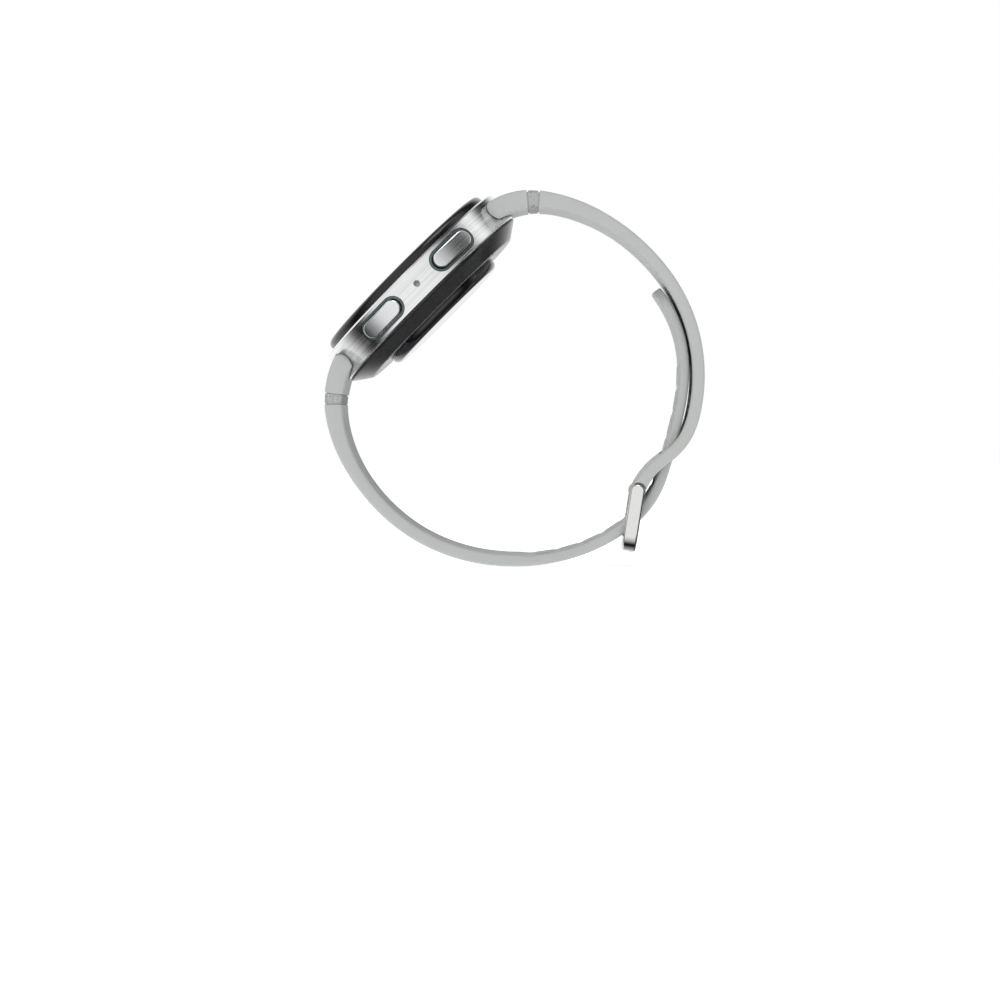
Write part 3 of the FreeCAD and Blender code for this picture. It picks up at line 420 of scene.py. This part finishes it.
class Finish:
    """A material built up from nodes, with coordinates in the watch's own millimetres."""

    def __init__(self, name, colour, metallic=0.0, roughness=0.5, **sockets):
        self.material = bpy.data.materials.new(name)
        self.material.use_nodes = True
        self.tree = self.material.node_tree
        self.shader = self.tree.nodes["Principled BSDF"]
        self.colour = colour
        self.shader.inputs["Base Color"].default_value = (*colour, 1)
        self.shader.inputs["Metallic"].default_value = metallic
        self.shader.inputs["Roughness"].default_value = roughness
        for label, value in sockets.items():
            self.shader.inputs[label.replace("_", " ")].default_value = value
        coordinates = self.node("ShaderNodeTexCoord")
        upright = self.node("ShaderNodeMapping", {0: coordinates.outputs["Object"]})
        upright.inputs["Scale"].default_value = (1000, 1000, 1000)
        upright.inputs["Rotation"].default_value = (-TILT, 0, 0)
        self.place = upright.outputs[0]

    def node(self, kind, inputs=None, **settings):
        made = self.tree.nodes.new(kind)
        for label, value in settings.items():
            setattr(made, label, value)
        for label, value in (inputs or {}).items():
            if isinstance(value, bpy.types.NodeSocket):
                self.tree.links.new(value, made.inputs[label])
            else:
                made.inputs[label].default_value = value
        return made

    def math(self, operation, *values):
        made = self.node("ShaderNodeMath", dict(enumerate(values)), operation=operation)
        return made.outputs[0]

    def stretched(self, scale):
        made = self.node("ShaderNodeVectorMath", {0: self.place, 1: scale}, operation="MULTIPLY")
        return made.outputs[0]

    def noise_at(self, place, detail, rough):
        return self.node(
            "ShaderNodeTexNoise",
            {"Vector": place, "Scale": 1.0, "Detail": detail, "Roughness": rough},
        ).outputs[0]

    def noise(self, scale, detail=4.0, rough=0.6):
        """Noise over the watch; scale is in cycles per millimetre along X, Y and Z."""
        return self.noise_at(self.stretched(scale), detail, rough)

    def turned_lines(self, along, across, detail=4.0, rough=0.7):
        """Lines round the display's axis, on walls and on flat faces alike, in cycles per millimetre."""
        parts = self.node("ShaderNodeSeparateXYZ", {0: self.place}).outputs
        square = self.math("MULTIPLY_ADD", parts[0], parts[0], self.math("POWER", parts[1], 2))
        reach = self.math("SQRT", square)
        depth = self.math("MULTIPLY", self.math("ADD", reach, parts[2]), across)
        ring = self.node(
            "ShaderNodeCombineXYZ",
            {0: self.math("MULTIPLY", parts[0], along), 1: self.math("MULTIPLY", parts[1], along), 2: depth},
        )
        return self.noise_at(ring.outputs[0], detail, rough)

    def spread(self, value, low, high, start=0.3, end=0.7):
        return self.node(
            "ShaderNodeMapRange",
            {0: value, 1: start, 2: end, 3: low, 4: high},
        ).outputs[0]

    def tint(self, value, amount):
        """Lighten and darken the colour by a share either way."""
        low = tuple(max(part * (1 - amount), 0) for part in self.colour)
        high = tuple(min(part * (1 + amount), 1) for part in self.colour)
        mixed = self.node("ShaderNodeMix", {0: value, 6: (*low, 1), 7: (*high, 1)}, data_type="RGBA")
        self.tree.links.new(mixed.outputs[2], self.shader.inputs["Base Color"])
        return self

    def rough(self, value, low, high):
        self.tree.links.new(self.spread(value, low, high), self.shader.inputs["Roughness"])
        return self

    def bump(self, value, depth, strength=1.0):
        """Depth is in millimetres."""
        made = self.node("ShaderNodeBump", {"Height": value, "Strength": strength, "Distance": depth / 1000})
        self.tree.links.new(made.outputs[0], self.shader.inputs["Normal"])
        return self

    def brushed_round(self):
        """Highlights that stretch as on metal turned about the display's axis."""
        normal = self.node("ShaderNodeNewGeometry").outputs["Normal"]
        made = self.node("ShaderNodeVectorMath", {0: tuple(FACE_AXIS), 1: normal}, operation="CROSS_PRODUCT")
        self.tree.links.new(made.outputs[0], self.shader.inputs["Tangent"])
        self.shader.inputs["Anisotropic Rotation"].default_value = 0.25
        return self


def grained(name, colour, metallic, roughness, scale, depth, shade=0.08, **sockets):
    """A finish with an even fine grain in its colour, gloss and relief."""
    made = Finish(name, colour, metallic, roughness, **sockets)
    grain = made.noise((scale, scale, scale))
    made.tint(grain, shade).rough(grain, roughness * 0.85, min(roughness * 1.15, 1)).bump(grain, depth)
    return made.material


def brushed_metal():
    """Satin metal with fine scratches that run round the case."""
    made = Finish("case_metal", (0.86, 0.87, 0.88), 1.0, 0.3, Anisotropic=0.55)
    fine = made.turned_lines(0.04, 7.0, 4, 0.75)
    broad = made.turned_lines(0.02, 2.2, 3, 0.7)
    lines = made.math("MULTIPLY_ADD", fine, 0.5, made.math("MULTIPLY", broad, 0.5))
    streaks = made.spread(lines, 0, 1, 0.4, 0.6)
    made.tint(streaks, 0.17)
    made.rough(streaks, 0.12, 0.25).bump(lines, 0.012, 0.6)
    return made.brushed_round().material


def brushed_button():
    made = Finish("button_metal", (0.84, 0.85, 0.86), 1.0, 0.26, Anisotropic=0.4)
    lines = made.turned_lines(0.05, 6.0, 4, 0.65)
    made.tint(lines, 0.1).rough(lines, 0.14, 0.24).bump(lines, 0.003, 0.4)
    return made.brushed_round().material


def silicone(name, colour, relief):
    """Moulded silicone: a dry, even skin with a fine grain and a little light inside it."""
    made = Finish(
        name, colour, 0.0, 0.6,
        Subsurface_Weight=0.06, Subsurface_Scale=0.0004, Sheen_Weight=0.08, Sheen_Roughness=0.6,
        Specular_IOR_Level=0.35,
    )
    grain = made.noise((11, 11, 11), 3, 0.6)
    cloud = made.noise((0.12, 0.12, 0.12), 3, 0.5)
    both = made.math("MULTIPLY_ADD", grain, 0.35, made.math("MULTIPLY", cloud, 0.65))
    made.tint(both, 0.05).rough(grain, 0.52, 0.68).bump(grain, relief, 0.6)
    return made.material


def crinkled():
    """The stripe's skin: the same silicone with small pits, darkened by painted shade."""
    made = Finish("band_accent", (0.4, 0.412, 0.405), 0.0, 0.55, Sheen_Weight=0.05)
    pits = made.noise((3.2, 3.2, 3.2), 3, 0.8)
    relief_and_painted_shade = made.spread(pits, 0, 1, 0.38, 0.6)
    # Painted shade: the colour darkens in the low pits and lightens on the raised tops, following the same
    # mask as the bump.
    return made.tint(relief_and_painted_shade, 0.4).rough(pits, 0.45, 0.7).bump(relief_and_painted_shade, 0.08, 0.9).material


def sensor_glass():
    """Black glass over a middle light source and a ring of six detectors, which show faintly."""
    made = Finish("window_black", (0.01, 0.01, 0.012), 0.0, 0.06, Coat_Weight=0.4, Coat_Roughness=0.03)
    parts = made.node("ShaderNodeSeparateXYZ", {0: made.place}).outputs
    drawn = None
    source_radius, detector_radius, ring_radius = 2.2, 1.5, 5.6
    turns = [step * math.pi / 3 for step in range(6)]
    spots = [(0, 0, source_radius)]
    spots += [(ring_radius * math.cos(turn), ring_radius * math.sin(turn), detector_radius) for turn in turns]
    for x, y, radius in spots:
        aside = made.math("POWER", made.math("SUBTRACT", parts[0], x), 2)
        ahead = made.math("POWER", made.math("SUBTRACT", parts[1], y), 2)
        spot = made.math("LESS_THAN", made.math("ADD", aside, ahead), radius * radius)
        drawn = spot if drawn is None else made.math("MAXIMUM", drawn, spot)
    shade = made.node(
        "ShaderNodeMix", {0: drawn, 6: (0.008, 0.008, 0.01, 1), 7: (0.05, 0.055, 0.06, 1)}, data_type="RGBA"
    )
    made.tree.links.new(shade.outputs[2], made.shader.inputs["Base Color"])
    return made.rough(made.noise((0.5, 0.5, 0.5)), 0.04, 0.09).material


def black_gloss(name, colour, roughness):
    """Glossy black with faint swirls in its polish."""
    made = Finish(name, colour, 0.0, roughness, Coat_Weight=0.15, Coat_Roughness=0.05, Specular_IOR_Level=0.4)
    cloud = made.noise((0.35, 0.35, 0.35), 4, 0.6)
    made.tint(cloud, 0.25).rough(cloud, roughness * 0.8, roughness * 1.3)
    made.bump(made.noise((9, 9, 9), 2), 0.001, 0.4)
    return made.material


def clear_glass(name, colour, roughness):
    made = Finish(name, colour, 0.0, roughness, Transmission_Weight=1.0, IOR=1.5)
    smear = made.noise((0.5, 0.5, 0.5), 3, 0.5)
    made.tint(smear, 0.02).rough(smear, roughness, roughness * 2.2)
    return made.material


def dial():
    """A dark panel that shows a plain clock: a minute ring, hour marks and two hands."""
    made = Finish("display", (0.006, 0.007, 0.009), 0.0, 0.25, Coat_Weight=0.3, Coat_Roughness=0.05)
    parts = made.node("ShaderNodeSeparateXYZ", {0: made.place}).outputs
    across, along = parts[0], parts[1]
    reach = made.math("SQRT", made.math("ADD", made.math("POWER", across, 2), made.math("POWER", along, 2)))
    turn = made.math("ARCTAN2", across, along)

    def inside(value, low, high):
        above = made.math("GREATER_THAN", value, low)
        return made.math("MULTIPLY", above, made.math("LESS_THAN", value, high))

    def marks(count, width, low, high):
        pitch = 2 * math.pi / count
        off = made.math("ABSOLUTE", made.math("WRAP", turn, pitch / 2, -pitch / 2))
        near = made.math("LESS_THAN", made.math("MULTIPLY", off, reach), width)
        return made.math("MULTIPLY", near, inside(reach, low, high))

    def hand(degrees, width, tail, tip):
        lean = math.radians(degrees)
        rise = made.math("MULTIPLY", along, math.cos(lean))
        forward = made.math("MULTIPLY_ADD", across, math.sin(lean), rise)
        run = made.math("MULTIPLY", along, -math.sin(lean))
        side = made.math("MULTIPLY_ADD", across, math.cos(lean), run)
        near = made.math("LESS_THAN", made.math("ABSOLUTE", side), width)
        return made.math("MULTIPLY", near, inside(forward, tail, tip))

    minute_marks = marks(60, width=0.07, low=13.0, high=13.7)
    hour_marks = marks(12, width=0.2, low=11.2, high=13.7)
    hour_hand = hand(305, width=0.42, tail=-1.2, tip=7.6)
    minute_hand = hand(54, width=0.3, tail=-1.2, tip=11.6)
    hub = inside(reach, -1, 0.9)
    drawn = minute_marks
    for other in (hour_marks, hour_hand, minute_hand, hub):
        drawn = made.math("MAXIMUM", drawn, other)
    glow = made.math("MULTIPLY", drawn, 0.75)
    shade = made.node(
        "ShaderNodeMix", {0: glow, 6: (0.006, 0.007, 0.009, 1), 7: (0.85, 0.87, 0.9, 1)}, data_type="RGBA"
    )
    made.tree.links.new(shade.outputs[2], made.shader.inputs["Base Color"])
    made.tree.links.new(shade.outputs[2], made.shader.inputs["Emission Color"])
    made.shader.inputs["Emission Strength"].default_value = 0.5
    made.rough(made.noise((6, 6, 6), 2), 0.2, 0.3)
    return made.material


MATERIALS = {
    "case_metal": brushed_metal(),
    "button_metal": brushed_button(),
    "button_ring": grained("button_ring", (0.12, 0.16, 0.16), 0.7, 0.36, 8, 0.002),
    "rim_black": black_gloss("rim_black", (0.008, 0.008, 0.009), 0.16),
    "cover_black": black_gloss("cover_black", (0.012, 0.012, 0.013), 0.22),
    "lens": clear_glass("lens", (0.97, 0.98, 0.98), 0.015),
    "window_black": sensor_glass(),
    "display": dial(),
    "band_silicone": silicone("band_silicone", (0.47, 0.485, 0.475), 0.006),
    "band_accent": crinkled(),
    "buckle_steel": grained("buckle_steel", (0.8, 0.8, 0.79), 1.0, 0.12, 2.5, 0.001, 0.05),
    "bar_steel": grained("bar_steel", (0.68, 0.68, 0.67), 1.0, 0.24, 7, 0.003, 0.1),
    "seal": grained("seal", (0.02, 0.02, 0.021), 0.0, 0.6, 9, 0.004, 0.2),
    "moulding": grained("moulding", (0.05, 0.05, 0.054), 0.0, 0.52, 6, 0.008, 0.12),
    "board": grained("board", (0.012, 0.09, 0.05), 0.0, 0.35, 3.5, 0.01, 0.3),
    "chip": grained("chip", (0.03, 0.03, 0.032), 0.0, 0.55, 12, 0.004, 0.25),
    "can": grained("can", (0.62, 0.63, 0.63), 1.0, 0.34, 5, 0.004, 0.08),
    "cell": grained("cell", (0.5, 0.51, 0.52), 0.8, 0.42, 1.6, 0.015, 0.1),
    "copper": grained("copper", (0.72, 0.33, 0.16), 1.0, 0.28, 8, 0.004, 0.12),
    "ferrite": grained("ferrite", (0.045, 0.04, 0.038), 0.2, 0.5, 7, 0.006, 0.2),
    "flex": grained("flex", (0.42, 0.17, 0.03), 0.0, 0.32, 3, 0.004, 0.15),
}
NODE_FINISH = {
    "case_frame": "case_metal", "back_cover": "cover_black", "back_seal": "seal", "back_screws": "bar_steel",
    "sensor_window": "window_black", "bezel_ring": "rim_black", "cover_glass": "lens",
    "display_seal": "seal", "display_panel": "display", "display_plate": "can", "display_flex": "flex",
    "inner_bracket": "moulding", "battery": "cell", "haptic_motor": "can", "main_board": "board",
    "board_chips": "chip", "board_shield": "can", "microphone": "can", "sensor_board": "board",
    "sensor_shroud": "moulding", "sensor_diodes": "chip", "charging_coil": "copper",
    "ferrite_sheet": "ferrite", "strap_upper": "band_silicone", "strap_lower": "band_silicone",
    "buckle_frame": "buckle_steel", "buckle_bar": "bar_steel", "buckle_tang": "buckle_steel",
    "button_cap": "button_metal", "button_ring": "button_ring", "button_seal": "seal",
    "button_clip": "bar_steel", "button_switch": "moulding", "bar_tube": "bar_steel",
    "bar_spring": "bar_steel", "bar_pin_right": "bar_steel", "bar_pin_left": "bar_steel",
}
for node_name, node in NODES.items():
    plain = node_name.removeprefix("upper_").removeprefix("lower_")
    node.data.materials.clear()
    node.data.materials.append(MATERIALS[NODE_FINISH[plain]])


def dress(obj, material, body, *nodes):
    """Give a new piece its finish and the body it moves with, and hide the CAD nodes it stands for."""
    obj.data.materials.clear()
    obj.data.materials.append(MATERIALS[material])
    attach(obj, body)
    if nodes:
        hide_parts(*nodes)


# ---------------------------------------------------------------- the two straps


def full_width(place):
    """The upper strap's half width, which is the same all along."""
    return BAND_HALF


def merged(name, pieces):
    """Several separate meshes as one."""
    bm = bmesh.new()
    for piece in pieces:
        bm.from_mesh(piece.data)
        bpy.data.objects.remove(piece)
    return mesh_object(name, bm)


def knurl(name, line, middle):
    """The stripe's insert, with a crinkled skin."""
    bm = bmesh.new()
    rings = []
    last_row = 14
    for row, place in enumerate(np.linspace(middle - ACCENT_HALF, middle + ACCENT_HALF, last_row + 1)):
        point, along, thick = line.at(place)
        up = Vector((-along.y, along.x))
        ring = []
        spots = section(
            BAND_HALF - 0.05, 0.05 - thick / 2, thick / 2 - 0.05, 0.45, steps=6, rows=110, side_rows=16
        )
        for column, (across, rise) in enumerate(spots):
            wander = math.sin(column * 1.9 + 1.3 * math.sin(row * 1.7)) + math.sin(row * 2.6 + column * 0.45)
            edge = 0.2 if row in (0, last_row) else 0.0
            sink = 0.07 + 0.035 * wander + edge
            inward = across - math.copysign(sink, across)
            ring.append(bm.verts.new(to_frame(inward, point + up * rise * (1 - sink / 3))))
        rings.append(ring)
    join_rings(bm, rings)
    return finish_mesh(mesh_object(name, bm), 60)


def smoothstep(value):
    value = min(max(value, 0), 1)
    return value * value * (3 - 2 * value)


def lower_width(place):
    """The lower strap's half width, which tapers to the free end and rounds off its corners."""
    point = LOWER.at(place)[0]
    half = BAND_HALF
    if point.y < TAPER_BELOW and point.x > TAPER_FROM:
        half -= (BAND_HALF - TAIL_HALF) * smoothstep((point.x - TAPER_FROM) / TAPER_RUN)
    elif place > LOWER.length / 2:
        half = TAIL_HALF
    left = LOWER.length - place
    if left < TAIL_CORNER:
        half -= TAIL_CORNER - math.sqrt(TAIL_CORNER**2 - (TAIL_CORNER - left) ** 2)
    return half


def beside_buckle(run, rise):
    """A point by its distance along the buckle and off it, from the buckle's bar."""
    return BUCKLE + BUCKLE_ALONG * run + BUCKLE_UP * rise


upper_nose = UPPER.nearest(SHOULDER)
upper_accent = UPPER.nearest(UPPER_ACCENT)
upper_strap = loft(
    "upper_band", UPPER, band_stations(UPPER, upper_nose, upper_accent, UPPER.length, full_width)
)
combine(upper_strap, tongue("tongue", UPPER, 1, upper_nose + TONGUE_OVERLAP), "UNION")
combine(upper_strap, extruded("eye", disc(BUCKLE, EYE_RADIUS), EYE_HALF), "UNION")
slot_places = np.linspace(LOWER.nearest(on_loop(*SLOT_START)), LOWER.nearest(on_loop(*SLOT_END)), 30)
slot_stations = [(place, SLOT_HALF, -SLOT_RISE, SLOT_RISE, SLOT_CORNER) for place in slot_places]
combine(upper_strap, loft("slot", LOWER, slot_stations), "DIFFERENCE")
for side in (1, -1):
    arm_room = extruded("arm_room", disc(BUCKLE, ARM_ROOM_RADIUS), ARM_ROOM_HALF)
    arm_room.data.transform(Matrix.Translation((side * 0.001 * ARM_ROOM_OFFSET, 0, 0)))
    combine(upper_strap, arm_room, "DIFFERENCE")
combine(upper_strap, extruded("tang_room", disc(BUCKLE, TANG_ROOM_RADIUS), TANG_ROOM_HALF), "DIFFERENCE")
combine(upper_strap, extruded("bar_room", disc(BUCKLE, BORE_RADIUS, 32), BAR_ROOM_HALF), "DIFFERENCE")
upper_bore = disc(Vector((BAR_OFFSET, BAR_HEIGHT)), BORE_RADIUS, 32)
combine(upper_strap, extruded("bore", upper_bore, BORE_HALF), "DIFFERENCE")
dress(finish_mesh(upper_strap), "band_silicone", "upper_strap", "strap_upper")
dress(knurl("upper_stripe", UPPER, upper_accent), "band_accent", "upper_strap")

lower_nose = LOWER.nearest(Vector((-SHOULDER.x, SHOULDER.y)))
lower_accent = LOWER.nearest(LOWER_ACCENT)
tang_place = LOWER.nearest(beside_buckle(*TANG_HOLE))
hole_places = [tang_place + HOLE_PITCH * step for step in range(-4, 7)]
stations = band_stations(LOWER, lower_nose, lower_accent, LOWER.length, lower_width)
extra = [LOWER.length - TAIL_CORNER * (1 - math.cos(turn)) for turn in np.linspace(0.15, 1.5, 9)]
stations += [
    (place, lower_width(place), -LOWER.at(place)[2] / 2, LOWER.at(place)[2] / 2, BAND_CORNER)
    for place in extra if place < LOWER.length - 0.35
]
sink_start = hole_places[0] - TAIL_SINK_LEAD
stations = [
    (place, half, low, high - TAIL_SINK * smoothstep((place - sink_start) / TAIL_SINK_RUN), corner)
    for place, half, low, high, corner in sorted(stations)
]
lower_strap = loft("lower_band", LOWER, stations)
pads = []
for place in hole_places:
    rows = []
    for offset, drop in PAD_EDGE:
        half = LOWER.at(place + offset)[2] / 2
        rows.append((place + offset, PAD_HALF - drop, half - PAD_DEPTH, half - PAD_SINK - drop, PAD_CORNER))
    pads.append(loft("pad", LOWER, rows))
combine(lower_strap, merged("pads", pads), "UNION")
combine(lower_strap, tongue("tongue", LOWER, -1, lower_nose + TONGUE_OVERLAP), "UNION")
holes = [pill_cutter(place) for place in hole_places if place != tang_place]
combine(lower_strap, merged("holes", holes), "DIFFERENCE")
tang_opening = [beside_buckle(*corner) for corner in TANG_OPENING]
combine(lower_strap, extruded("tang_room", tang_opening, HOLE_WIDTH / 2), "DIFFERENCE")
lower_bore = disc(Vector((-BAR_OFFSET, BAR_HEIGHT)), BORE_RADIUS, 32)
combine(lower_strap, extruded("bore", lower_bore, BORE_HALF), "DIFFERENCE")
dress(finish_mesh(lower_strap), "band_silicone", "lower_strap", "strap_lower")
dress(knurl("lower_stripe", LOWER, lower_accent), "band_accent", "lower_strap")


# ---------------------------------------------------------------- floor and light


# The room's brightness by direction round the display's axis, in degrees.
ROOM_BANDS = (
    (-180, 0.9), (-125, 0.95), (-104, 0.8), (-88, 0.0), (-72, 0.0), (-60, 0.3), (-48, 0.85),
    (-10, 0.88), (26, 0.82), (40, 0.5), (52, 0.02), (70, 0.02), (84, 1.0), (97, 0.9), (108, 0.0),
    (134, 0.0), (152, 0.9),
)


def floor():
    """A pale floor just under the lowest point of the watch."""
    low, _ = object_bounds()
    bm = bmesh.new()
    bmesh.ops.create_grid(bm, x_segments=8, y_segments=8, size=3)
    obj = mesh_object("floor", bm)
    obj.location.z = low.z - 0.0002
    obj.visible_glossy = False
    made = Finish("floor", (0.93, 0.93, 0.93), 0.0, 0.75)
    made.shader.inputs["Emission Color"].default_value = (1, 1, 1, 1)
    made.shader.inputs["Emission Strength"].default_value = 0.6
    obj.data.materials.append(made.tint(made.noise((0.01, 0.01, 0.01), 2), 0.01).material)
    obj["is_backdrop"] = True


def softbox(name, place, aim_at, size, power):
    lamp = bpy.data.lights.new(name, "AREA")
    lamp.shape = "RECTANGLE"
    lamp.size, lamp.size_y = size
    lamp.energy = power
    obj = bpy.data.objects.new(name, lamp)
    scene.collection.objects.link(obj)
    obj.location = place
    obj.rotation_mode = "QUATERNION"
    obj.rotation_quaternion = (Vector(aim_at) - Vector(place)).to_track_quat("-Z", "Y")


def studio():
    """A room whose brightness changes with direction round the display's axis, as between softboxes."""
    world = bpy.data.worlds.new("studio")
    scene.world = world
    world.use_nodes = True
    tree = world.node_tree
    link = tree.links.new

    def dotted(direction):
        made = tree.nodes.new("ShaderNodeVectorMath")
        made.operation = "DOT_PRODUCT"
        link(coordinates.outputs["Generated"], made.inputs[0])
        made.inputs[1].default_value = direction
        return made.outputs["Value"]

    coordinates = tree.nodes.new("ShaderNodeTexCoord")
    swing = tree.nodes.new("ShaderNodeMath")
    swing.operation = "ARCTAN2"
    link(dotted((0, math.sin(TILT), math.cos(TILT))), swing.inputs[0])
    link(dotted((1, 0, 0)), swing.inputs[1])
    share = tree.nodes.new("ShaderNodeMapRange")
    share.inputs[1].default_value = -math.pi
    share.inputs[2].default_value = math.pi
    link(swing.outputs[0], share.inputs[0])
    bands = tree.nodes.new("ShaderNodeValToRGB")
    bands.color_ramp.interpolation = "B_SPLINE"
    ramp = bands.color_ramp.elements
    while len(ramp) < len(ROOM_BANDS):
        ramp.new(0.5)
    for element, (degrees, bright) in zip(ramp, ROOM_BANDS):
        element.position = (degrees + 180) / 360
        element.color = (bright, bright, bright, 1)
    link(share.outputs[0], bands.inputs[0])
    behind = tree.nodes.new("ShaderNodeMapRange")
    behind.interpolation_type = "SMOOTHSTEP"
    behind.inputs[1].default_value, behind.inputs[2].default_value = -0.72, -0.2
    behind.inputs[3].default_value, behind.inputs[4].default_value = 0.12, 1.1
    link(dotted(FACE_AXIS), behind.inputs[0])
    room = tree.nodes["Background"]
    link(bands.outputs[0], room.inputs["Color"])
    link(behind.outputs[0], room.inputs["Strength"])
    white = tree.nodes.new("ShaderNodeBackground")
    white.inputs["Color"].default_value = (1, 1, 1, 1)
    rays = tree.nodes.new("ShaderNodeLightPath")
    pick = tree.nodes.new("ShaderNodeMixShader")
    link(rays.outputs["Is Camera Ray"], pick.inputs[0])
    link(room.outputs[0], pick.inputs[1])
    link(white.outputs[0], pick.inputs[2])
    link(pick.outputs[0], tree.nodes["World Output"].inputs["Surface"])


scene.view_settings.view_transform = "Standard"
studio()
softbox("key", (0.35, 0.1, 0.8), (0, 0, 0), (0.5, 0.5), 2.2)
floor()
